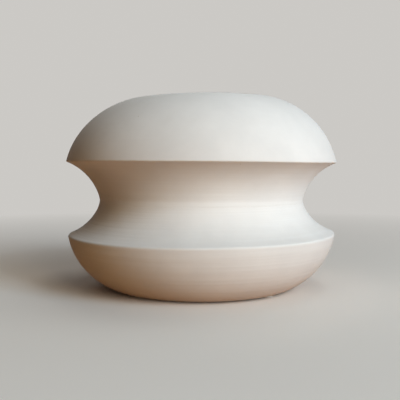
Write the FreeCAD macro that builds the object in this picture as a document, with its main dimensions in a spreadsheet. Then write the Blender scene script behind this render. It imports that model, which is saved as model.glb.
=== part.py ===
import FreeCAD, Part
import math
import os
from collections import namedtuple

import Sketcher
from FreeCAD import Vector

# A pillow vase: two wide ceramic shells, a domed one over a bowl, luted together at a narrow waist.
# The origin is on the table under the middle of the foot, and heights are above the table.
SIZES = {
    # the outline, edge to edge, before the edges are softened
    "mouth_radius": 64.0,
    "mouth_height": 168.0,
    "upper_rim_radius": 120.0,
    "upper_rim_height": 111.0,
    "waist_radius": 90.5,
    "waist_height": 76.0,
    "lower_rim_radius": 119.0,
    "lower_rim_height": 48.5,
    "foot_radius": 82.5,
    # how round each stretch of the outline is
    "dome_radius": 77.0,
    "upper_cove_radius": 46.5,
    "waist_round_radius": 18.0,
    "lower_cove_radius": 46.5,
    "bowl_radius": 61.5,
    # the even wall, and the floor over the hollowed foot
    "wall": 6.0,
    "floor_thickness": 7.0,
    "foot_ring_width": 12.0,
    "foot_hollow": 3.0,
    # the stepped lap at the waist: a tongue on the bowl, a lip on the dome, and slip between them
    "lap_height": 5.0,
    "lap_lip": 1.6,
    "slip_thickness": 0.4,
    # softened edges and inner corners
    "lip_radius": 2.5,
    "land_bevel": 1.2,
    "rim_bevel": 0.8,
    "rim_hollow_bevel": 5.0,
    "foot_bevel": 1.0,
    # the felt dots under the foot ring
    "pad_radius": 5.0,
    "pad_thickness": 1.5,
    "pad_bevel": 0.3,
}
PAD_COUNT = 4

# Two places closer than this are the same place
SAME_PLACE = 0.001

# The side of the wall that an arc's centre lies on: outside it on a cove, inside it on a swelling
OUTSIDE = 1
INSIDE = -1

Circle = namedtuple("Circle", "name centre radius side")
Corner = namedtuple("Corner", "point across height")


class Length:
    """A length with its value and its formula in the sheet's sizes."""

    def __init__(self, value, formula):
        self.value = value
        self.formula = formula

    def __add__(self, other):
        return Length(self.value + other.value, f"{self.formula} + {other.formula}")

    def __sub__(self, other):
        return Length(self.value - other.value, f"{self.formula} - ({other.formula})")

    def __truediv__(self, number):
        return Length(self.value / number, f"({self.formula}) / {number}")


def make_sheet(doc):
    """The sheet of driving sizes, one named cell each."""
    sheet = doc.addObject("Spreadsheet::Sheet", "sizes")
    for row, (name, value) in enumerate(SIZES.items(), start=1):
        sheet.set(f"A{row}", name)
        sheet.set(f"B{row}", str(value))
        sheet.setAlias(f"B{row}", name)
    doc.recompute()
    return sheet


def length(name):
    """One size of the sheet."""
    return Length(SIZES[name], f"sizes.{name}")


def corner(across, height):
    """A corner that two lengths fix: its distance from the axis and its height."""
    return Corner(Vector(across.value, height.value, 0), across, height)


def loose_corner(point):
    """A corner that the edges meeting there fix."""
    return Corner(point, None, None)


def arc_through(name, start, end, side):
    """The circle of an arc between two corners, its radius taken from the sheet."""
    radius = length(f"{name}_radius")
    half = (end.point - start.point) / 2
    reach = math.sqrt(radius.value**2 - half.Length**2)
    outward = Vector(abs(half.y), -half.x * math.copysign(1, half.y), 0) / half.Length
    return Circle(name, start.point + half + outward * reach * side, radius, side)


def inner_face(circle):
    """The concentric circle on the inner face of the wall."""
    wall = length("wall")
    radius = circle.radius + wall if circle.side == OUTSIDE else circle.radius - wall
    return circle._replace(radius=radius)


def at_height(circle, height):
    """The point of the wall on a circle at a height."""
    rise = height.value - circle.centre.y
    reach = math.sqrt(circle.radius.value**2 - rise**2)
    return Vector(circle.centre.x - circle.side * reach, height.value, 0)


def above(circle, across):
    """The point of the wall on top of a circle at a distance from the axis."""
    reach = math.sqrt(circle.radius.value**2 - (across.value - circle.centre.x) ** 2)
    return Vector(across.value, circle.centre.y + reach, 0)


def round_inside(circle, name, across):
    """The circle that rounds the corner between a wall's circle and an upright face."""
    radius = length(f"{name}_radius")
    kept_off = circle._replace(radius=circle.radius - radius)
    return Circle(name, above(kept_off, across + radius), radius, INSIDE)


def touching(circle, inner):
    """Where a circle and a smaller one inside it touch."""
    way = inner.centre - circle.centre
    return circle.centre + way * (circle.radius.value / way.Length)


def crossing(first, second, near):
    """Where two circles cross, on the side of a corner."""
    way = second.centre - first.centre
    along = (way.Length**2 + first.radius.value**2 - second.radius.value**2) / (2 * way.Length)
    across = math.sqrt(first.radius.value**2 - along**2)
    ahead = way / way.Length
    left = Vector(-ahead.y, ahead.x, 0)
    crossings = [first.centre + ahead * along + left * across * side for side in (INSIDE, OUTSIDE)]
    return min(crossings, key=near.point.distanceToPoint)


def round_between(name, first, second, spot):
    """The circle that rounds the corner where two coves meet."""
    radius = length(f"{name}_radius")
    kept_off = [circle._replace(radius=circle.radius - radius) for circle in (first, second)]
    return Circle(name, crossing(*kept_off, spot), radius, OUTSIDE)


class VaseOutline:
    """The corners, heights and circles that the pieces of the vase share."""

    def __init__(self):
        self.mouth = corner(length("mouth_radius"), length("mouth_height"))
        self.upper_rim = corner(length("upper_rim_radius"), length("upper_rim_height"))
        self.waist = corner(length("waist_radius"), length("waist_height"))
        self.lower_rim = corner(length("lower_rim_radius"), length("lower_rim_height"))
        self.foot = corner(length("foot_radius"), length("pad_thickness"))

        self.dome = arc_through("dome", self.mouth, self.upper_rim, INSIDE)
        self.lip = round_inside(self.dome, "lip", self.mouth.across)
        self.upper_cove = arc_through("upper_cove", self.upper_rim, self.waist, OUTSIDE)
        self.lower_cove = arc_through("lower_cove", self.waist, self.lower_rim, OUTSIDE)
        self.waist_round = round_between("waist_round", self.upper_cove, self.lower_cove, self.waist)
        self.bowl = arc_through("bowl", self.lower_rim, self.foot, INSIDE)
        self.dome_inside = inner_face(self.dome)
        self.waist_inside = inner_face(self.waist_round)
        self.upper_cove_inside = inner_face(self.upper_cove)
        self.lower_cove_inside = inner_face(self.lower_cove)
        self.bowl_inside = inner_face(self.bowl)

        self.seam_top = self.on_waist(length("waist_height") + length("slip_thickness") / 2)
        self.seam_foot = self.on_waist(length("waist_height") - length("slip_thickness") / 2)
        self.tongue_face = length("waist_radius") - length("lap_lip") - length("slip_thickness")
        self.lip_face = length("waist_radius") - length("lap_lip")
        self.tongue_top = length("waist_height") + length("lap_height")
        self.tongue_root = Corner(at_height(self.waist_inside, self.tongue_top), None, self.tongue_top)
        self.lap_roof = self.tongue_top + length("slip_thickness")
        self.hollow_roof = length("pad_thickness") + length("foot_hollow")
        self.floor = self.hollow_roof + length("floor_thickness")

        self.upper_hollow = crossing(self.upper_cove_inside, self.dome_inside, self.upper_rim)
        self.lower_hollow = crossing(self.bowl_inside, self.lower_cove_inside, self.lower_rim)
        self.floor_edge = at_height(self.bowl_inside, self.floor)

    def on_waist(self, height):
        """A corner on the round of the waist, which its height alone fixes."""
        return Corner(at_height(self.waist_round, height), None, height)


def origin_plane(body, role):
    """One of a body's own origin planes."""
    return next(plane for plane in body.Origin.OriginFeatures if plane.Role == role)


class Profile:
    """A closed chain of lines and arcs in a sketch, every dimension tied to the sheet."""

    def __init__(self, body, start):
        self.sketch = body.newObject("Sketcher::SketchObject", f"{body.Label}_profile")
        self.sketch.AttachmentSupport = [(origin_plane(body, "XZ_Plane"), "")]
        self.sketch.MapMode = "FlatFace"
        self.start = start
        self.here = start.point
        self.edges = []
        self.centres = {}

    def hold(self, kind, *where):
        """A constraint without a dimension."""
        self.sketch.addConstraint(Sketcher.Constraint(kind, *where))

    def dimension(self, kind, where, size):
        """A constraint with a dimension that follows the sheet."""
        number = self.sketch.addConstraint(Sketcher.Constraint(kind, *where, size.value))
        self.sketch.setExpression(f"Constraints[{number}]", size.formula)

    def pin(self, edge, end, spot):
        """Ties the end of an edge to the lengths that fix its corner."""
        if spot.across:
            self.dimension("DistanceX", (-1, 1, edge, end), spot.across)
        if spot.height:
            self.dimension("DistanceY", (-1, 1, edge, end), spot.height)

    def add_arc(self, circle, start, end, construction=False):
        """An arc edge, with its number and the names of its first and last end along the way."""
        turn = (start - circle.centre).cross(end - circle.centre).z
        ends = (start, end) if turn > 0 else (end, start)
        angles = [math.atan2(*reversed((point - circle.centre)[:2])) for point in ends]
        whole = Part.Circle(circle.centre, Vector(0, 0, 1), circle.radius.value)
        edge = self.sketch.addGeometry(Part.ArcOfCircle(whole, *angles), construction)
        if circle.name in self.centres:
            self.hold("Coincident", edge, 3, self.centres[circle.name], 3)
        else:
            self.centres[circle.name] = edge
        return (edge, 1, 2) if turn > 0 else (edge, 2, 1)

    def touch(self, circle, start, end):
        """Makes the latest arc touch a stretch that other pieces show, drawn as a construction arc."""
        edge, first, last = self.add_arc(circle, start.point, end.point, construction=True)
        self.dimension("Radius", (edge,), circle.radius)
        self.pin(edge, first, start)
        self.pin(edge, last, end)
        self.hold("Tangent", edge, self.edges[-1][0])

    def go(self, edge, first, last, spot, joint="Coincident"):
        """Joins a new edge to the one before it and moves on to its far corner."""
        if self.edges:
            before, _, end = self.edges[-1]
            self.hold(joint, before, end, edge, first)
        self.edges.append((edge, first, last))
        self.pin(edge, last, spot)
        self.here = spot.point

    def arc_to(self, spot, circle, joint="Coincident"):
        edge, first, last = self.add_arc(circle, self.here, spot.point)
        self.dimension("Radius", (edge,), circle.radius)
        self.go(edge, first, last, spot, joint)

    def blend_to(self, spot, circle):
        """An arc about a centre already set, whose radius makes it run on smoothly."""
        edge, first, last = self.add_arc(circle, self.here, spot.point)
        self.go(edge, first, last, spot, "Tangent")

    def through(self, spot):
        """Makes the circle of the latest edge pass a corner that the edge itself stops short of."""
        point = self.sketch.addGeometry(Part.Point(spot.point), True)
        self.pin(point, 1, spot)
        self.hold("PointOnObject", point, 1, self.edges[-1][0])

    def line_to(self, spot, direction):
        edge = self.sketch.addGeometry(Part.LineSegment(self.here, spot.point), False)
        self.hold(direction, edge)
        self.go(edge, 1, 2, spot)

    def level_to(self, across):
        self.line_to(Corner(Vector(across.value, self.here.y, 0), across, None), "Horizontal")

    def upright_to(self, height):
        self.line_to(Corner(Vector(self.here.x, height.value, 0), None, height), "Vertical")

    def level_to_axis(self):
        self.line_to(loose_corner(Vector(0, self.here.y, 0)), "Horizontal")
        edge, _, last = self.edges[-1]
        self.hold("PointOnObject", edge, last, -2)

    def close(self, direction, joint="Coincident"):
        """The last line, back to the first corner."""
        self.line_to(loose_corner(self.start.point), direction)
        edge, first, _ = self.edges[0]
        before, _, last = self.edges[-1]
        self.hold(joint, before, last, edge, first)
        self.pin(edge, first, self.start)


def revolve(body, profile):
    """Turns a profile about the vertical axis."""
    revolution = body.newObject("PartDesign::Revolution", f"{body.Label}_turned")
    revolution.Profile = profile.sketch
    revolution.ReferenceAxis = (profile.sketch, ["V_Axis"])
    revolution.Angle = 360
    body.Document.recompute()


def rings(shape, points):
    """The names of the round edges that points of a profile sweep."""
    names = []
    for number, edge in enumerate(shape.Edges, start=1):
        spot = edge.Vertexes[0].Point
        swept = Vector(math.hypot(spot.x, spot.y), spot.z, 0)
        if edge.isClosed() and any(swept.distanceToPoint(point) < SAME_PLACE for point in points):
            names.append(f"Edge{number}")
    return names


def bevel(body, points, size):
    """Bevels the edges that points of the profile sweep."""
    base = body.Tip
    edge_names = rings(base.Shape, points)
    feature = body.newObject("PartDesign::Chamfer", f"{body.Label}_{size}")
    feature.Base = (base, edge_names)
    feature.setExpression("Size", f"sizes.{size}")
    body.Document.recompute()


def new_body(doc, name):
    body = doc.addObject("PartDesign::Body", name)
    body.Label = name
    return body


def follow_socket(profile, vase):
    """From the seam to the inner wall, along the socket that the dome has for the tongue."""
    profile.level_to(vase.lip_face)
    profile.upright_to(vase.lap_roof)
    profile.line_to(loose_corner(at_height(vase.waist_inside, vase.lap_roof)), "Horizontal")


def follow_tongue(profile, vase):
    """From the inner wall back to the foot of the seam, along the bowl's tongue."""
    profile.level_to(vase.tongue_face)
    profile.line_to(loose_corner(Vector(vase.tongue_face.value, vase.seam_foot.point.y, 0)), "Vertical")
    profile.close("Horizontal")


def make_upper_shell(doc, vase):
    """The dome with its mouth, its rim and the upper half of the waist."""
    body = new_body(doc, "upper_shell")
    land_top = Vector(vase.mouth.across.value, vase.lip.centre.y, 0)
    land_foot = above(vase.dome_inside, vase.mouth.across)
    profile = Profile(body, Corner(land_top, vase.mouth.across, None))
    profile.arc_to(loose_corner(touching(vase.dome, vase.lip)), vase.lip)
    profile.arc_to(vase.upper_rim, vase.dome, "Tangent")
    profile.through(vase.mouth)
    profile.arc_to(loose_corner(touching(vase.upper_cove, vase.waist_round)), vase.upper_cove)
    profile.through(vase.waist)
    profile.arc_to(vase.seam_top, vase.waist_round, "Tangent")
    profile.touch(vase.lower_cove, vase.waist, vase.lower_rim)
    follow_socket(profile, vase)
    profile.arc_to(loose_corner(touching(vase.upper_cove_inside, vase.waist_inside)), vase.waist_inside)
    profile.blend_to(loose_corner(vase.upper_hollow), vase.upper_cove_inside)
    profile.arc_to(loose_corner(land_foot), vase.dome_inside)
    profile.close("Vertical", "Tangent")
    revolve(body, profile)
    bevel(body, [vase.upper_hollow], "rim_hollow_bevel")
    bevel(body, [land_foot], "land_bevel")
    bevel(body, [vase.upper_rim.point], "rim_bevel")
    return body


def make_lower_shell(doc, vase):
    """The bowl with its hollowed foot, its rim, the lower half of the waist and the lap's tongue."""
    body = new_body(doc, "lower_shell")
    ring_inside = length("foot_radius") - length("foot_ring_width")
    profile = Profile(body, vase.seam_foot)
    profile.arc_to(loose_corner(touching(vase.lower_cove, vase.waist_round)), vase.waist_round)
    profile.touch(vase.upper_cove, vase.upper_rim, vase.waist)
    profile.arc_to(vase.lower_rim, vase.lower_cove, "Tangent")
    profile.through(vase.waist)
    profile.arc_to(vase.foot, vase.bowl)
    profile.level_to(ring_inside)
    profile.upright_to(vase.hollow_roof)
    profile.level_to_axis()
    profile.upright_to(vase.floor)
    profile.line_to(loose_corner(vase.floor_edge), "Horizontal")
    profile.arc_to(loose_corner(vase.lower_hollow), vase.bowl_inside)
    inner_blend = touching(vase.lower_cove_inside, vase.waist_inside)
    profile.arc_to(loose_corner(inner_blend), vase.lower_cove_inside)
    profile.blend_to(vase.tongue_root, vase.waist_inside)
    follow_tongue(profile, vase)
    revolve(body, profile)
    hollow_edge = Vector(ring_inside.value, vase.foot.point.y, 0)
    bevel(body, [vase.lower_hollow], "rim_hollow_bevel")
    bevel(body, [vase.lower_rim.point], "rim_bevel")
    bevel(body, [vase.foot.point, hollow_edge], "foot_bevel")
    return body


def make_slip_joint(doc, vase):
    """The ring of slip that fills the lap, flush outside as the seam and inside with the walls."""
    body = new_body(doc, "slip_joint")
    profile = Profile(body, vase.seam_foot)
    profile.arc_to(vase.seam_top, vase.waist_round)
    profile.touch(vase.upper_cove, vase.upper_rim, vase.waist)
    profile.touch(vase.lower_cove, vase.waist, vase.lower_rim)
    follow_socket(profile, vase)
    profile.arc_to(vase.tongue_root, vase.waist_inside)
    follow_tongue(profile, vase)
    revolve(body, profile)
    return body


def make_foot_pad(doc, number):
    """One felt dot, stuck to the middle of the foot ring."""
    body = new_body(doc, f"foot_pad_{number}")
    sketch = body.newObject("Sketcher::SketchObject", f"{body.Label}_profile")
    sketch.AttachmentSupport = [(origin_plane(body, "XY_Plane"), "")]
    sketch.MapMode = "FlatFace"
    sketch.addGeometry(Part.Circle(Vector(), Vector(0, 0, 1), SIZES["pad_radius"]), False)
    sketch.addConstraint(Sketcher.Constraint("Coincident", 0, 3, -1, 1))
    radius = sketch.addConstraint(Sketcher.Constraint("Radius", 0, SIZES["pad_radius"]))
    sketch.setExpression(f"Constraints[{radius}]", "sizes.pad_radius")

    pad = body.newObject("PartDesign::Pad", f"{body.Label}_thickness")
    pad.Profile = sketch
    pad.setExpression("Length", "sizes.pad_thickness")
    doc.recompute()
    bevel(body, [Vector(SIZES["pad_radius"], 0, 0)], "pad_bevel")

    turn = f"({number} - 1 / 2) * 360 deg / {PAD_COUNT}"
    circle = "(sizes.foot_radius - sizes.foot_ring_width / 2)"
    body.setExpression("Placement.Base.x", f"{circle} * cos({turn})")
    body.setExpression("Placement.Base.y", f"{circle} * sin({turn})")
    doc.recompute()
    return body


def check(doc, bodies):
    """Stops at anything that didn't come out whole."""
    for item in doc.Objects:
        if "Invalid" in item.State or "Error" in item.State:
            raise RuntimeError(f"{item.Label} failed: {item.State}")
    for sketch in doc.findObjects("Sketcher::SketchObject"):
        if not sketch.FullyConstrained:
            raise RuntimeError(f"{sketch.Label} is loose")
    for body in bodies:
        shape = body.Shape
        if shape.isNull() or not shape.isValid() or len(shape.Solids) != 1:
            raise RuntimeError(f"{body.Label} isn't one valid solid")


def main():
    doc = FreeCAD.newDocument("pillow_vase")
    make_sheet(doc)
    vase = VaseOutline()
    bodies = [make_upper_shell(doc, vase), make_lower_shell(doc, vase), make_slip_joint(doc, vase)]
    bodies += [make_foot_pad(doc, number + 1) for number in range(PAD_COUNT)]
    doc.recompute()
    check(doc, bodies)
    os.makedirs("parts", exist_ok=True)
    for body in bodies:
        body.Shape.exportStep(f"parts/{body.Label}.step")
        print(f"{body.Label}: {body.Shape.Volume:.1f} mm3, {len(body.Shape.Faces)} faces")


main()
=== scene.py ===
"""The looks of a pillow vase: two turned shells of white clay, luted at the waist, on felt dots.

Lengths are in metres. A point of the outline is its distance from the axis and its height.
"""

import math
from typing import NamedTuple

import bpy
import numpy as np
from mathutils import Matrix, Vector


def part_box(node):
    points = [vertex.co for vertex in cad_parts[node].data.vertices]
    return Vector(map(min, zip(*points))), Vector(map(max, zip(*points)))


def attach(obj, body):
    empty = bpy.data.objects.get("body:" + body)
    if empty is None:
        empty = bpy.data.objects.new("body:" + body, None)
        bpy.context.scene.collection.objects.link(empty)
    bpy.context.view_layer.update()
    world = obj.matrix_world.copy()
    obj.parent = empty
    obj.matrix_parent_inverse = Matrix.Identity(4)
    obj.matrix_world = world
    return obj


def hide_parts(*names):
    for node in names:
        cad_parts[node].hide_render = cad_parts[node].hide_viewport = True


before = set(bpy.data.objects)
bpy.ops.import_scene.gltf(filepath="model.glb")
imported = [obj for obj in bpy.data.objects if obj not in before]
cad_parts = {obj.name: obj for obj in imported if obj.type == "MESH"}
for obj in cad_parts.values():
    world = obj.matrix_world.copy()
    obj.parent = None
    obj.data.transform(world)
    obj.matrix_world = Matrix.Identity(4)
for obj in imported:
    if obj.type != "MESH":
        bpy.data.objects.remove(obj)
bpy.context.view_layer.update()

MM = 0.001

# The outline of the clay, edge to edge, before its edges are softened
MOUTH = Vector((64.0, 168.0)) * MM
UPPER_RIM = Vector((120.0, 111.0)) * MM
WAIST = Vector((90.5, 76.0)) * MM
LOWER_RIM = Vector((119.0, 48.5)) * MM
FOOT_RADIUS = 82.5 * MM
DOME_RADIUS = 77.0 * MM
UPPER_COVE_RADIUS = 46.5 * MM
WAIST_ROUND_RADIUS = 18.0 * MM
LOWER_COVE_RADIUS = 46.5 * MM
BOWL_RADIUS = 61.5 * MM

# The wall, the floor and the hollowed foot
WALL = 6.0 * MM
FLOOR_THICKNESS = 7.0 * MM
FOOT_RING_WIDTH = 12.0 * MM
FOOT_HOLLOW = 3.0 * MM

# The lap at the waist, read from the pieces that meet there
SEAM_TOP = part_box("upper_shell")[0].z
SEAM_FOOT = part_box("slip_joint")[0].z
LAP_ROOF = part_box("slip_joint")[1].z
TONGUE_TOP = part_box("lower_shell")[1].z
FOOT_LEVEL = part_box("lower_shell")[0].z
SLIP = LAP_ROOF - TONGUE_TOP
LIP_INSET = 1.6 * MM
LIP_FACE = WAIST.x - LIP_INSET
TONGUE_FACE = LIP_FACE - SLIP

# How far back from each corner the clay is sponged round
UPPER_RIM_REACH = 1.1 * MM
LOWER_RIM_REACH = 1.8 * MM
LIP_REACH = 4.4 * MM
LAND_REACH = 1.6 * MM
HOLLOW_REACH = 5.5 * MM
SEAM_REACH = 0.10 * MM
FOOT_REACH = 1.2 * MM
FLOOR_REACH = 7.0 * MM
SHARP = 0.0

# How closely the surfaces are drawn, and how near points are that count as one
TURNS = 256
FINE_STEP = 0.9 * MM
COARSE_STEP = 2.6 * MM
SEAM_STEP = SLIP / 3
ARC_STEP = 0.1 * MM
CORNER_POINTS = 7
SAME_PLACE = 0.01 * MM

# The side of the wall that an arc's centre lies on
OUTSIDE = 1
INSIDE = -1

SEED = 11


class Arc:
    """A round stretch of the outline."""

    def __init__(self, centre, radius, side):
        self.centre = centre
        self.radius = radius
        self.side = side

    def inner_face(self):
        """The same stretch on the inner face of the wall."""
        return Arc(self.centre, self.radius + WALL * self.side, self.side)

    def at_height(self, height):
        reach = math.sqrt(self.radius**2 - (height - self.centre.y) ** 2)
        return Vector((self.centre.x - self.side * reach, height))

    def above(self, across):
        rise = math.sqrt(self.radius**2 - (across - self.centre.x) ** 2)
        return Vector((across, self.centre.y + rise))

    def meets(self, other, near):
        """Where two arcs cross, by a corner."""
        way = other.centre - self.centre
        along = (way.length_squared + self.radius**2 - other.radius**2) / (2 * way.length)
        across = math.sqrt(self.radius**2 - along**2)
        ahead = way.normalized()
        left = Vector((-ahead.y, ahead.x))
        crossings = [self.centre + ahead * along + left * across * side for side in (-1, 1)]
        return min(crossings, key=lambda point: (point - near).length)

    def touches(self, inner):
        """Where the arc touches a smaller one inside it."""
        return self.centre + (inner.centre - self.centre).normalized() * self.radius

    def between(self, start, end):
        """Close points of the arc from one of its points to another."""
        first = math.atan2(start.y - self.centre.y, start.x - self.centre.x)
        last = math.atan2(end.y - self.centre.y, end.x - self.centre.x)
        turn = (last - first + math.pi) % (2 * math.pi) - math.pi
        count = max(2, math.ceil(abs(turn) * self.radius / ARC_STEP))
        angles = [first + turn * number / count for number in range(count + 1)]
        return [self.centre + Vector((math.cos(a), math.sin(a))) * self.radius for a in angles]


def arc_through(start, end, radius, side):
    """The arc of a radius that passes two corners."""
    half = (end - start) / 2
    reach = math.sqrt(radius**2 - half.length_squared)
    outward = Vector((abs(half.y), -half.x * math.copysign(1, half.y))) / half.length
    return Arc(start + half + outward * reach * side, radius, side)


def round_between(first, second, radius, near):
    """The arc that rounds the corner where two coves meet."""
    kept_off = [Arc(arc.centre, arc.radius - radius, OUTSIDE) for arc in (first, second)]
    return Arc(kept_off[0].meets(kept_off[1], near), radius, OUTSIDE)


FOOT = Vector((FOOT_RADIUS, FOOT_LEVEL))

dome = arc_through(MOUTH, UPPER_RIM, DOME_RADIUS, INSIDE)
upper_cove = arc_through(UPPER_RIM, WAIST, UPPER_COVE_RADIUS, OUTSIDE)
lower_cove = arc_through(WAIST, LOWER_RIM, LOWER_COVE_RADIUS, OUTSIDE)
waist_round = round_between(upper_cove, lower_cove, WAIST_ROUND_RADIUS, WAIST)
bowl = arc_through(LOWER_RIM, FOOT, BOWL_RADIUS, INSIDE)
dome_inside, upper_cove_inside, waist_inside, lower_cove_inside, bowl_inside = (
    arc.inner_face() for arc in (dome, upper_cove, waist_round, lower_cove, bowl)
)
SEAM_TOP_CORNER = waist_round.at_height(SEAM_TOP)
SEAM_FOOT_CORNER = waist_round.at_height(SEAM_FOOT)


def straight(start, end):
    """Close points of a straight stretch."""
    count = max(1, math.ceil((end - start).length / ARC_STEP))
    return [start.lerp(end, number / count) for number in range(count + 1)]


class Line:
    """A line of the profile, drawn stretch by stretch, with its corners softened."""

    def __init__(self, closed):
        self.closed = closed
        self.stretches = []

    def add(self, points, step, reach, face):
        """A stretch, how finely it is drawn, how far its end corner is cut back, and its face."""
        self.stretches.append((np.array(points), step, reach, face))

    def drawn(self):
        """Points, and for each the number of its face."""
        points, faces = [], []
        last = len(self.stretches) - 1
        for number, (stretch, step, reach, face) in enumerate(self.stretches):
            reach_before = self.stretches[number - 1][2] if number or self.closed else 0
            reach_after = reach if number < last or self.closed else 0
            trimmed = resampled(stretch, step, reach_before, reach_after)
            points.extend(trimmed)
            faces.extend([face] * len(trimmed))
            if reach_after:
                following = self.stretches[(number + 1) % len(self.stretches)]
                landing = resampled(following[0], step, reach, 0)[0]
                bend = softened(trimmed[-1], stretch[-1], landing)
                points.extend(bend)
                faces.extend([face] * len(bend))
        return without_repeats(np.array(points), faces, self.closed)


def resampled(stretch, step, cut_start, cut_end):
    """Even points along a stretch, less what is cut from its ends."""
    runs = np.linalg.norm(np.diff(stretch, axis=0), axis=1)
    along = np.concatenate([[0], np.cumsum(runs)])
    count = max(1, round((along[-1] - cut_start - cut_end) / step))
    wanted = np.linspace(cut_start, along[-1] - cut_end, count + 1)
    return [np.array([np.interp(w, along, stretch[:, axis]) for axis in (0, 1)]) for w in wanted]


def softened(start, corner, end):
    """Points of a bend that leaves one stretch and joins the next, short of their corner."""
    shares = np.linspace(0, 1, CORNER_POINTS + 1)[1:-1]
    return [start * (1 - t) ** 2 + corner * 2 * t * (1 - t) + end * t**2 for t in shares]


def without_repeats(points, faces, closed):
    """The points with those that repeat their neighbour left out."""
    keep = [0]
    for number in range(1, len(points)):
        if np.linalg.norm(points[number] - points[keep[-1]]) > SAME_PLACE:
            keep.append(number)
    if closed and np.linalg.norm(points[keep[-1]] - points[0]) < SAME_PLACE:
        keep.pop()
    return points[keep], [faces[number] for number in keep]


# The faces of a shell, and with them its materials
CLAY = 0
GLAZE = 1


def upper_line():
    """The domed shell, round its section from the seam."""
    waist_end = upper_cove.touches(waist_round)
    inner_waist_end = upper_cove_inside.touches(waist_inside)
    hollow = upper_cove_inside.meets(dome_inside, UPPER_RIM)
    land_foot = dome_inside.above(MOUTH.x)
    roof = waist_inside.at_height(LAP_ROOF)
    socket = Vector((LIP_FACE, LAP_ROOF))
    socket_foot = Vector((LIP_FACE, SEAM_TOP))
    line = Line(closed=True)
    line.add(waist_round.between(SEAM_TOP_CORNER, waist_end), FINE_STEP, SHARP, CLAY)
    line.add(upper_cove.between(waist_end, UPPER_RIM), FINE_STEP, UPPER_RIM_REACH, CLAY)
    line.add(dome.between(UPPER_RIM, MOUTH), FINE_STEP, LIP_REACH, CLAY)
    line.add(straight(MOUTH, land_foot), FINE_STEP, LAND_REACH, GLAZE)
    line.add(dome_inside.between(land_foot, hollow), COARSE_STEP, HOLLOW_REACH, GLAZE)
    line.add(upper_cove_inside.between(hollow, inner_waist_end), COARSE_STEP, SHARP, GLAZE)
    line.add(waist_inside.between(inner_waist_end, roof), COARSE_STEP, SHARP, GLAZE)
    line.add(straight(roof, socket), COARSE_STEP, SHARP, CLAY)
    line.add(straight(socket, socket_foot), COARSE_STEP, SHARP, CLAY)
    line.add(straight(socket_foot, SEAM_TOP_CORNER), FINE_STEP, SEAM_REACH, CLAY)
    return line.drawn()


def lower_line():
    """The bowl, from the middle of its underside round to the middle of its floor."""
    waist_end = lower_cove.touches(waist_round)
    inner_waist_end = lower_cove_inside.touches(waist_inside)
    hollow = bowl_inside.meets(lower_cove_inside, LOWER_RIM)
    hollow_roof = FOOT_LEVEL + FOOT_HOLLOW
    floor = hollow_roof + FLOOR_THICKNESS
    ring_foot = Vector((FOOT_RADIUS - FOOT_RING_WIDTH, FOOT_LEVEL))
    ring_roof = Vector((ring_foot.x, hollow_roof))
    floor_edge = bowl_inside.at_height(floor)
    tongue_root = waist_inside.at_height(TONGUE_TOP)
    tongue = Vector((TONGUE_FACE, TONGUE_TOP))
    tongue_foot = Vector((TONGUE_FACE, SEAM_FOOT))
    line = Line(closed=False)
    line.add(straight(Vector((0, hollow_roof)), ring_roof), FINE_STEP, FOOT_REACH, CLAY)
    line.add(straight(ring_roof, ring_foot), FINE_STEP, FOOT_REACH, CLAY)
    line.add(straight(ring_foot, FOOT), FINE_STEP, FOOT_REACH, CLAY)
    line.add(bowl.between(FOOT, LOWER_RIM), FINE_STEP, LOWER_RIM_REACH, CLAY)
    line.add(lower_cove.between(LOWER_RIM, waist_end), FINE_STEP, SHARP, CLAY)
    line.add(waist_round.between(waist_end, SEAM_FOOT_CORNER), FINE_STEP, SEAM_REACH, CLAY)
    line.add(straight(SEAM_FOOT_CORNER, tongue_foot), FINE_STEP, SHARP, CLAY)
    line.add(straight(tongue_foot, tongue), COARSE_STEP, SHARP, CLAY)
    line.add(straight(tongue, tongue_root), COARSE_STEP, SHARP, CLAY)
    line.add(waist_inside.between(tongue_root, inner_waist_end), COARSE_STEP, SHARP, GLAZE)
    line.add(lower_cove_inside.between(inner_waist_end, hollow), COARSE_STEP, HOLLOW_REACH, GLAZE)
    line.add(bowl_inside.between(hollow, floor_edge), COARSE_STEP, FLOOR_REACH, GLAZE)
    line.add(straight(floor_edge, Vector((0, floor))), COARSE_STEP, SHARP, GLAZE)
    return line.drawn()


def slip_line():
    """The ring of slip in the lap, from the foot of the seam."""
    corners = [
        SEAM_TOP_CORNER,
        Vector((LIP_FACE, SEAM_TOP)),
        Vector((LIP_FACE, LAP_ROOF)),
        waist_inside.at_height(LAP_ROOF),
        waist_inside.at_height(TONGUE_TOP),
        Vector((TONGUE_FACE, TONGUE_TOP)),
        Vector((TONGUE_FACE, SEAM_FOOT)),
        SEAM_FOOT_CORNER,
    ]
    line = Line(closed=True)
    line.add(waist_round.between(SEAM_FOOT_CORNER, SEAM_TOP_CORNER), SEAM_STEP, SHARP, CLAY)
    for start, end in zip(corners, corners[1:]):
        line.add(straight(start, end), COARSE_STEP, SHARP, CLAY)
    return line.drawn()


# How far from true the vase is by hand: the slope of each level ring across it, low on the right
# where it is below nought, how far the rims wander in height, and how much narrower it is one way
MOUTH_SLOPE = 0.016
UPPER_RIM_SLOPE = -0.0055
LOWER_RIM_SLOPE = 0.0070
RIM_WANDER = 0.22 * MM
SEAM_WANDER_SHARE = 0.2
OVAL = 0.35 * MM
OVAL_TURN = 0.9

# The waves that a rim's wander is made of: how many go round it, where they start and how high they are
WANDER_WAVES = ((3, 0.7, 0.5), (5, 2.1, 0.3), (8, 0.0, 0.2))


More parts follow.
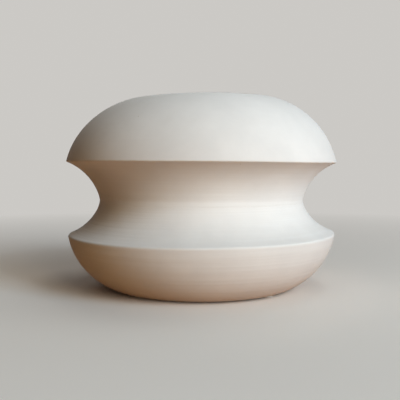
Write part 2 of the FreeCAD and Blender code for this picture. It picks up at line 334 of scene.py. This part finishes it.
def by_hand(points):
    """Moves points of a true turned form to where the hand-made one has them."""
    across = points[:, 0]
    height = points[:, 2]
    angle = np.arctan2(points[:, 1], points[:, 0])
    levels = [FOOT_LEVEL, LOWER_RIM.y, SEAM_TOP, UPPER_RIM.y, MOUTH.y]
    slope = np.interp(height, levels, [0, LOWER_RIM_SLOPE, 0, UPPER_RIM_SLOPE, MOUTH_SLOPE])
    wander_share = np.interp(height, levels, [0, 1, SEAM_WANDER_SHARE, 1, 1])
    mouth_share = np.interp(height, levels, [0, 0, 0, 0, 1])
    wander = sum(np.sin(count * angle + start) * share for count, start, share in WANDER_WAVES)
    moved = points.copy()
    moved[:, 2] += slope * across + wander * wander_share * RIM_WANDER
    moved[:, 2] -= mouth_share * (MOUTH_SLOPE * MOUTH.x + RIM_WANDER)
    narrower = (1 + np.sin(2 * angle + OVAL_TURN)) / 2
    moved[:, :2] *= (1 - OVAL * narrower / UPPER_RIM.x)[:, None]
    return moved


# The soft fold that the sponge left round the waist: a little above the seam in front, and lower behind
FOLD_HEIGHT = 77.0 * MM
FOLD_TILT = 3.3 * MM
FOLD_DEPTH = 0.55 * MM
FOLD_REACH = 2.8 * MM
FOLD_ROUND = 0.8 * MM


def fold(profile, angles):
    """How far the fold draws in each point of the outer face."""
    level = FOLD_HEIGHT - FOLD_TILT * np.sin(angles)
    away = np.hypot(profile[:, 1][:, None] - level, FOLD_ROUND) - FOLD_ROUND
    outer = profile[:, 0][:, None] > WAIST.x
    return np.where(outer, FOLD_DEPTH * np.exp(-away / FOLD_REACH), 0)


# The marks of turning: how high they are, how far apart, and how much a ring of them fades on its way round
MARKS_HEIGHT = 0.05 * MM
MARKS_SPACING = 1.7 * MM
MARKS_FADE = 0.3

# How far from the seam the marks start, and over what distance they grow
LAP_SMOOTH = 7.0 * MM
LAP_FADE = 8.0 * MM

# How much of the marks the sponge left on the dome, and between which heights they fade
DOME_MARKS_SHARE = 0.25
DOME_START = UPPER_RIM.y - 4.0 * MM
DOME_FULL = UPPER_RIM.y + 3.0 * MM


def turning_marks(along, angles, marks_height):
    """How far a tool left each point above or below the true surface, ring by ring."""
    rng = np.random.default_rng(SEED)
    knots = np.arange(0, along[-1] + 2 * MARKS_SPACING, MARKS_SPACING)
    marks = np.interp(along, knots, rng.uniform(-1, 1, len(knots)))
    drift = np.interp(along, knots, rng.uniform(0, 2 * math.pi, len(knots)))
    around = 1 - MARKS_FADE * (1 - np.sin(2 * angles + drift[:, None]))
    return marks_height * marks[:, None] * around


def run_along(profile):
    """How far along the profile each of its points is."""
    steps = np.linalg.norm(np.diff(profile, axis=0), axis=1)
    return np.concatenate([[0], np.cumsum(steps)])


def on_axis(profile):
    return profile[:, 0] < SAME_PLACE


def turned_points(profile, marks_height):
    """The points of a turned surface, row by row, with the marks of turning and of the hand."""
    angles = np.linspace(0, 2 * math.pi, TURNS, endpoint=False)
    tangent = np.gradient(profile, axis=0)
    tangent /= np.linalg.norm(tangent, axis=1)[:, None]
    outward = np.stack([tangent[:, 1], -tangent[:, 0]], axis=1)
    from_lap = np.hypot(profile[:, 0] - WAIST.x, profile[:, 1] - SEAM_TOP)
    away_from_lap = np.clip((from_lap - LAP_SMOOTH) / LAP_FADE, 0, 1)[:, None]
    marks_share = np.interp(profile[:, 1], (DOME_START, DOME_FULL), (1, DOME_MARKS_SHARE))[:, None]
    marks = turning_marks(run_along(profile), angles, marks_height) * marks_share
    raised = (marks - marks_height) * away_from_lap
    radius = profile[:, 0][:, None] + outward[:, 0][:, None] * raised - fold(profile, angles)
    height = profile[:, 1][:, None] + outward[:, 1][:, None] * raised
    radius[on_axis(profile)] = 0
    points = np.stack([radius * np.cos(angles), radius * np.sin(angles), height], axis=-1)
    return by_hand(points.reshape(-1, 3)).reshape(points.shape)


def turned(name, line, marks_height, closed):
    """A piece turned from a profile, whose every point makes a ring, or stays one point on the axis."""
    profile, faces = line
    rings = zip(turned_points(profile, marks_height), run_along(profile), on_axis(profile))
    vertices, lengths, rows = [], [], []
    for ring, length, is_point in rings:
        points = [ring.mean(axis=0)] if is_point else ring
        rows.append([len(vertices) + turn % len(points) for turn in range(TURNS)])
        vertices.extend(points)
        lengths.extend([length] * len(points))
    polygons, face_numbers = [], []
    for number in range(len(rows) if closed else len(rows) - 1):
        here, there = rows[number], rows[(number + 1) % len(rows)]
        for turn in range(TURNS):
            following = (turn + 1) % TURNS
            corners = [here[turn], here[following], there[following], there[turn]]
            polygons.append(list(dict.fromkeys(corners)))
            face_numbers.append(faces[number])
    piece = smooth_piece(name, vertices, polygons)
    piece.data.polygons.foreach_set("material_index", face_numbers)
    attribute = piece.data.attributes.new("along", "FLOAT", "POINT")
    attribute.data.foreach_set("value", lengths)
    return piece


def smooth_piece(name, vertices, polygons):
    """An object whose mesh is shaded smooth."""
    mesh = bpy.data.meshes.new(name)
    mesh.from_pydata([tuple(vertex) for vertex in vertices], [], polygons)
    mesh.polygons.foreach_set("use_smooth", [True] * len(polygons))
    mesh.update()
    return add(name, mesh)


def add(name, data):
    """An object in the scene, of a mesh, a light or a camera."""
    item = bpy.data.objects.new(name, data)
    bpy.context.scene.collection.objects.link(item)
    return item


def finish_piece(piece, node, slot, *materials):
    """Gives a piece its materials and sets it in the frame in a node's place."""
    for material in materials:
        piece.data.materials.append(material)
    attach(piece, "root")
    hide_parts(node)


class Nodes:
    """The node tree of a material or of the world, built link by link."""

    def __init__(self, owner, shader):
        owner.use_nodes = True
        self.owner = owner
        self.tree = owner.node_tree
        self.shader = self.tree.nodes[shader]

    def add(self, kind, inputs=None, **settings):
        node = self.tree.nodes.new(kind)
        for key, value in settings.items():
            setattr(node, key, value)
        for key, value in (inputs or {}).items():
            self.give(node, key, value)
        return node

    def give(self, node, key, value):
        """Sets an input to a constant or links an output to it."""
        if isinstance(value, bpy.types.NodeSocket):
            self.tree.links.new(value, node.inputs[key])
        else:
            node.inputs[key].default_value = value

    def shade(self, **inputs):
        for key, value in inputs.items():
            self.give(self.shader, key.replace("_", " "), value)

    def math(self, operation, first, second):
        node = self.add("ShaderNodeMath", {0: first, 1: second}, operation=operation)
        return node.outputs[0]

    def place(self):
        """Where a point is on the piece, in metres."""
        return self.add("ShaderNodeTexCoord").outputs["Object"]

    def height(self):
        """How high a point of the piece is, in metres."""
        return self.add("ShaderNodeSeparateXYZ", {0: self.place()}).outputs[2]

    def scaled(self, vector, factors):
        node = self.add("ShaderNodeVectorMath", {0: vector, 1: factors}, operation="MULTIPLY")
        return node.outputs[0]

    def noise(self, vector, scale=1.0, detail=3.0, roughness=0.5):
        inputs = {"Vector": vector, "Scale": scale, "Detail": detail, "Roughness": roughness}
        return self.add("ShaderNodeTexNoise", inputs).outputs["Fac"]

    def ramp(self, factor, low, high, low_value=0.0, high_value=1.0):
        """A value that runs from one to another while the factor runs from low to high."""
        inputs = {0: factor, 1: low, 2: high, 3: low_value, 4: high_value}
        return self.add("ShaderNodeMapRange", inputs, clamp=True).outputs[0]

    def mix(self, factor, first, second):
        node = self.add("ShaderNodeMix", data_type="RGBA")
        self.give(node, 0, factor)
        self.give(node, 6, first)
        self.give(node, 7, second)
        return node.outputs[2]

    def bump(self, height, depth, before=None):
        """A normal raised by a pattern, over one raised before."""
        node = self.add("ShaderNodeBump", {"Height": height, "Distance": depth, "Strength": 1.0})
        if before is not None:
            self.give(node, "Normal", before)
        return node.outputs[0]

    def seen(self):
        """1 for a ray that shows the studio, straight, mirrored or through glass, and 0 for its own light."""
        rays = self.add("ShaderNodeLightPath").outputs
        indirect = self.math("MAXIMUM", rays["Is Glossy Ray"], rays["Is Transmission Ray"])
        return self.math("MAXIMUM", rays["Is Camera Ray"], indirect)


def material_nodes(name):
    """The nodes of a new material."""
    return Nodes(bpy.data.materials.new(name), "Principled BSDF")


def turning_place(nodes, around, along):
    """A place in which noise has so many marks to a metre round the vase, and so many along its profile."""
    here = nodes.add("ShaderNodeSeparateXYZ", {0: nodes.place()})
    run = nodes.add("ShaderNodeAttribute", attribute_name="along").outputs["Fac"]
    inputs = {
        0: nodes.math("MULTIPLY", here.outputs[0], around),
        1: nodes.math("MULTIPLY", here.outputs[1], around),
        2: nodes.math("MULTIPLY", run, along),
    }
    return nodes.add("ShaderNodeCombineXYZ", inputs).outputs[0]


# White clay: its colours, how strongly the lines tint it, and how deep its lines and grain are
CLAY_DARK = (0.797, 0.795, 0.787, 1)
CLAY_LIGHT = (0.876, 0.876, 0.866, 1)
CLAY_BROAD_LINE = (0.790, 0.775, 0.750, 1)
CLAY_FINE_LINE = (0.770, 0.755, 0.730, 1)
BROAD_LINE_TINT = 0.30
FINE_LINE_TINT = 0.25
BROAD_LINE_DEPTH = 0.18 * MM
FINE_LINE_DEPTH = 0.10 * MM
GRAIN_DEPTH = 0.03 * MM
CLAY_SPECULAR = 0.12

# The specks: their colour and strength, how many cells there are to a metre and which share of them has
# a speck, and how far its core and its edge are from its middle, in cells
SPECK_COLOUR = (0.330, 0.260, 0.190, 1)
SPECK_TINT = 0.5
SPECK_CELLS = 210.0
SPECK_SHARE = 0.025
SPECK_CORE = 0.05
SPECK_EDGE = 0.11


def specks(nodes):
    """1 in the middle of the few cells that have a speck, and 0 elsewhere."""
    cells = nodes.add("ShaderNodeTexVoronoi", {"Vector": nodes.place(), "Scale": SPECK_CELLS})
    spot = nodes.ramp(cells.outputs["Distance"], SPECK_CORE, SPECK_EDGE, low_value=1.0, high_value=0.0)
    number = nodes.add("ShaderNodeSeparateColor", {0: cells.outputs["Color"]}).outputs[0]
    return nodes.math("MULTIPLY", spot, nodes.math("GREATER_THAN", number, 1 - SPECK_SHARE))


def clay_material():
    """White clay, dry and matte, with fine turning lines, a soft mottle and a few specks."""
    nodes = material_nodes("white_clay")
    fine = nodes.noise(turning_place(nodes, around=9.0, along=820.0), detail=5.0, roughness=0.6)
    broad = nodes.noise(turning_place(nodes, around=5.0, along=150.0))
    cloud = nodes.noise(nodes.place(), scale=19.0, detail=5.0, roughness=0.6)
    grain = nodes.noise(nodes.place(), scale=1500.0, roughness=0.6)

    marks_share = nodes.ramp(nodes.height(), DOME_START, DOME_FULL, 1.0, high_value=DOME_MARKS_SHARE)
    broad_tint = nodes.ramp(broad, 0.35, 0.68, high_value=BROAD_LINE_TINT)
    fine_tint = nodes.ramp(fine, 0.40, 0.72, high_value=FINE_LINE_TINT)
    colour = nodes.mix(nodes.ramp(cloud, 0.32, 0.68), CLAY_DARK, CLAY_LIGHT)
    colour = nodes.mix(nodes.math("MULTIPLY", broad_tint, marks_share), colour, CLAY_BROAD_LINE)
    colour = nodes.mix(nodes.math("MULTIPLY", fine_tint, marks_share), colour, CLAY_FINE_LINE)
    colour = nodes.mix(nodes.math("MULTIPLY", specks(nodes), SPECK_TINT), colour, SPECK_COLOUR)

    normal = nodes.bump(nodes.math("MULTIPLY", fine, marks_share), FINE_LINE_DEPTH)
    normal = nodes.bump(nodes.math("MULTIPLY", broad, marks_share), BROAD_LINE_DEPTH, normal)
    normal = nodes.bump(grain, GRAIN_DEPTH, normal)
    roughness = nodes.ramp(cloud, 0.3, 0.7, low_value=0.66, high_value=0.76)
    nodes.shade(Base_Color=colour, Roughness=roughness, Normal=normal)
    nodes.shader.inputs["Specular IOR Level"].default_value = CLAY_SPECULAR
    return nodes.owner


# Clear glaze over white clay: the colours that show through it, its rings and its coat
GLAZE_DARK = (0.760, 0.755, 0.720, 1)
GLAZE_LIGHT = (0.820, 0.820, 0.800, 1)
GLAZE_RING = (0.700, 0.690, 0.650, 1)
RING_TINT = 0.3
RING_DEPTH = 0.30 * MM
COAT = 0.3
COAT_ROUGHNESS = 0.08


def glaze_material():
    """Clear glaze over the white clay inside, glossy, with the rings of throwing under it."""
    nodes = material_nodes("clear_glaze")
    rings = nodes.noise(turning_place(nodes, around=4.0, along=190.0))
    cloud = nodes.noise(nodes.place(), scale=20.0, detail=4.0)
    colour = nodes.mix(nodes.ramp(cloud, 0.3, 0.7), GLAZE_DARK, GLAZE_LIGHT)
    colour = nodes.mix(nodes.ramp(rings, 0.4, 0.7, high_value=RING_TINT), colour, GLAZE_RING)
    roughness = nodes.ramp(cloud, 0.3, 0.7, low_value=0.12, high_value=0.22)
    nodes.shade(Base_Color=colour, Roughness=roughness, Normal=nodes.bump(rings, RING_DEPTH))
    nodes.shader.inputs["Coat Weight"].default_value = COAT
    nodes.shader.inputs["Coat Roughness"].default_value = COAT_ROUGHNESS
    return nodes.owner


# Fired slip: its colours, and how deep it is dragged
SLIP_DARK = (0.780, 0.768, 0.742, 1)
SLIP_LIGHT = (0.850, 0.842, 0.825, 1)
DRAG_DEPTH = 0.15 * MM


def slip_material():
    """Fired slip, a little darker and rougher than the clay, dragged round the seam."""
    nodes = material_nodes("fired_slip")
    drag = nodes.noise(turning_place(nodes, around=60.0, along=1400.0), detail=4.0, roughness=0.6)
    colour = nodes.mix(nodes.ramp(drag, 0.35, 0.65), SLIP_DARK, SLIP_LIGHT)
    roughness = nodes.ramp(drag, 0.3, 0.7, low_value=0.62, high_value=0.8)
    nodes.shade(Base_Color=colour, Roughness=roughness, Normal=nodes.bump(drag, DRAG_DEPTH))
    return nodes.owner


# Pressed felt: its colours, and how deep its tufts and fibres are
FELT_DARK = (0.460, 0.440, 0.405, 1)
FELT_LIGHT = (0.680, 0.660, 0.620, 1)
FELT_TUFT = (0.520, 0.500, 0.465, 1)
TUFT_TINT = 0.4
TUFT_DEPTH = 0.20 * MM
FIBRE_DEPTH = 0.12 * MM
FIBRE_FLATNESS = 2.5
FELT_SHEEN = 0.3
FELT_SHEEN_ROUGHNESS = 0.5


def felt_material():
    """Pale grey pressed felt, its fibres lying every way."""
    nodes = material_nodes("pressed_felt")
    pressed = nodes.scaled(nodes.place(), (1.0, 1.0, FIBRE_FLATNESS))
    fibre = nodes.noise(pressed, scale=2600.0, detail=6.0, roughness=0.75)
    tuft = nodes.noise(nodes.place(), scale=420.0, detail=4.0, roughness=0.6)
    colour = nodes.mix(nodes.ramp(fibre, 0.3, 0.7), FELT_DARK, FELT_LIGHT)
    colour = nodes.mix(nodes.ramp(tuft, 0.4, 0.7, high_value=TUFT_TINT), colour, FELT_TUFT)
    normal = nodes.bump(fibre, FIBRE_DEPTH, nodes.bump(tuft, TUFT_DEPTH))
    roughness = nodes.ramp(tuft, 0.3, 0.7, low_value=0.85, high_value=0.98)
    nodes.shade(Base_Color=colour, Roughness=roughness, Normal=normal)
    nodes.shader.inputs["Sheen Weight"].default_value = FELT_SHEEN
    nodes.shader.inputs["Sheen Roughness"].default_value = FELT_SHEEN_ROUGHNESS
    return nodes.owner


# The felt pads: how finely they are drawn, how far in their edge is worn and how much its corner has
# lost, and how uneven the felt is
PAD_TURNS = 72
PAD_RINGS = 12
PAD_EDGE = 0.35 * MM
PAD_CORNER_LOSS = 0.105 * MM
PAD_FUZZ = 0.06 * MM


def pad_rows(radius, foot, top):
    """The rings of a disc from the middle of its underside round to the middle of its top."""
    rings = [radius * number / PAD_RINGS for number in range(1, PAD_RINGS - 1)]
    edge = [
        (radius - PAD_EDGE, foot),
        (radius - PAD_CORNER_LOSS, foot + PAD_CORNER_LOSS),
        (radius, foot + PAD_EDGE),
        (radius, (foot + top) / 2),
        (radius, top - PAD_EDGE),
        (radius - PAD_EDGE, top),
    ]
    return [(ring, foot) for ring in rings] + edge + [(ring, top) for ring in reversed(rings)]


def felt_pad(name, node, felt):
    """A punched disc of felt, its cut edge worn round and its faces slightly uneven."""
    low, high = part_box(node)
    middle = (low + high) / 2
    rows = pad_rows((high.x - low.x) / 2, low.z, high.z)
    rng = np.random.default_rng(SEED + int(node[-1]))
    vertices = [(middle.x, middle.y, low.z)]
    for across, height in rows:
        for turn in range(PAD_TURNS):
            angle = 2 * math.pi * turn / PAD_TURNS
            fuzz = rng.uniform(0, PAD_FUZZ)
            x = middle.x + (across - fuzz) * math.cos(angle)
            y = middle.y + (across - fuzz) * math.sin(angle)
            vertices.append((x, y, height + (fuzz if height < middle.z else -fuzz)))
    vertices.append((middle.x, middle.y, high.z))
    last = len(vertices) - 1
    last_ring = last - PAD_TURNS
    polygons = []
    for turn in range(PAD_TURNS):
        following = (turn + 1) % PAD_TURNS
        polygons.append((0, 1 + following, 1 + turn))
        for ring in range(1, last_ring, PAD_TURNS):
            above = ring + PAD_TURNS
            polygons.append((ring + turn, ring + following, above + following, above + turn))
        polygons.append((last_ring + turn, last_ring + following, last))
    finish_piece(smooth_piece(name, vertices, polygons), node, "felt", felt)


# The studio floor: how wide it is, and how far from the vase it starts and ends to fade into the room
FLOOR_HALF_WIDTH = 6.0
FLOOR_ROUGHNESS = 0.9
FADE_START = 0.20
FADE_END = 0.90

# The floor is pale where it is seen, and gives back the warm light that planks give in the photograph
FLOOR_SEEN = (0.90, 0.87, 0.83, 1)
FLOOR_BOUNCE = (0.45, 0.20, 0.055, 1)
ROOM_SEEN = (0.60, 0.585, 0.56, 1)
ROOM_LIGHT = (0.003, 0.002, 0.001, 1)


def floor_material():
    """Pale paper, which far from the vase is as pale as the room."""
    nodes = material_nodes("pale_paper")
    seen = nodes.seen()
    nodes.shade(Base_Color=nodes.mix(seen, FLOOR_BOUNCE, FLOOR_SEEN), Roughness=FLOOR_ROUGHNESS)
    away = nodes.add("ShaderNodeVectorMath", {0: nodes.place()}, operation="LENGTH").outputs["Value"]
    fade = nodes.math("MULTIPLY", nodes.ramp(away, FADE_START, FADE_END), seen)
    air = nodes.add("ShaderNodeEmission", {"Color": ROOM_SEEN})
    ground = nodes.add("ShaderNodeMixShader", {0: fade, 1: nodes.shader.outputs[0], 2: air.outputs[0]})
    nodes.give(nodes.tree.nodes["Material Output"], "Surface", ground.outputs[0])
    return nodes.owner


def floor():
    near, far = -FLOOR_HALF_WIDTH, FLOOR_HALF_WIDTH
    mesh = bpy.data.meshes.new("studio_floor")
    mesh.from_pydata([(near, near, 0), (far, near, 0), (far, far, 0), (near, far, 0)], [], [(0, 1, 2, 3)])
    mesh.materials.append(floor_material())
    add("studio_floor", mesh)


def room():
    """The air round the vase: almost dark to it, and pale to the camera and in reflections."""
    nodes = Nodes(bpy.data.worlds.new("room"), "Background")
    nodes.shade(Color=nodes.mix(nodes.seen(), ROOM_LIGHT, ROOM_SEEN), Strength=1.0)
    bpy.context.scene.world = nodes.owner


class Lamp(NamedTuple):
    """A soft lamp that faces the middle of the vase, its power in watts."""

    place: tuple
    width: float
    height: float
    power: float
    colour: tuple


# A tall cool window on the right with a warmer lamp by it, and two weak lamps above and behind
LAMP_AIM = Vector((0, 0, 0.09))
LAMPS = {
    "window": Lamp(place=(1.45, -1.35, 0.85), width=0.9, height=1.5, power=34.0, colour=(0.63, 0.825, 1.0)),
    "lamp": Lamp(place=(0.9, -1.6, 0.7), width=0.9, height=1.2, power=15.8, colour=(1.0, 0.80, 0.54)),
    "ceiling": Lamp(place=(0.3, 0.3, 1.5), width=0.8, height=0.8, power=3.4, colour=(1.0, 0.95, 0.88)),
    "back": Lamp(place=(-0.5, 1.7, 1.0), width=1.2, height=1.2, power=4.0, colour=(1.0, 0.95, 0.88)),
}


def light(name, lamp):
    data = bpy.data.lights.new(name, "AREA")
    data.shape = "RECTANGLE"
    data.size = lamp.width
    data.size_y = lamp.height
    data.energy = lamp.power
    data.color = lamp.colour
    fitting = add(name, data)
    fitting.location = lamp.place
    fitting.rotation_euler = (LAMP_AIM - fitting.location).to_track_quat("-Z", "Y").to_euler()
    fitting.visible_camera = False


def studio():
    floor()
    room()
    for name, lamp in LAMPS.items():
        light(name, lamp)
    bpy.context.scene.view_settings.view_transform = "Standard"


# The photograph's view: how far off and how high the camera is, and how it is tipped and turned
CAMERA_DISTANCE = 0.5619
CAMERA_HEIGHT = 0.1082
CAMERA_PITCH = math.radians(3.196)
CAMERA_YAW = math.radians(0.111)
FOCAL_PIXELS = 620
FRAME_PIXELS = 400


def camera():
    data = bpy.data.cameras.new("camera")
    data.lens = data.sensor_width * FOCAL_PIXELS / FRAME_PIXELS
    viewer = add("camera", data)
    viewer.location = (0, -CAMERA_DISTANCE, CAMERA_HEIGHT)
    viewer.rotation_euler = (math.pi / 2 - CAMERA_PITCH, 0, CAMERA_YAW)
    bpy.context.scene.camera = viewer


def vase():
    clay = clay_material()
    glaze = glaze_material()
    upper = turned("upper_shell_clay", upper_line(), MARKS_HEIGHT, closed=True)
    finish_piece(upper, "upper_shell", "matte_ceramic", clay, glaze)
    lower = turned("lower_shell_clay", lower_line(), MARKS_HEIGHT, closed=False)
    finish_piece(lower, "lower_shell", "matte_ceramic", clay, glaze)
    seam = turned("slip_seam", slip_line(), 0.0, closed=True)
    finish_piece(seam, "slip_joint", "fired_slip", slip_material())
    felt = felt_material()
    for number in range(1, 5):
        felt_pad(f"felt_pad_{number}", f"foot_pad_{number}", felt)


vase()
studio()
camera()
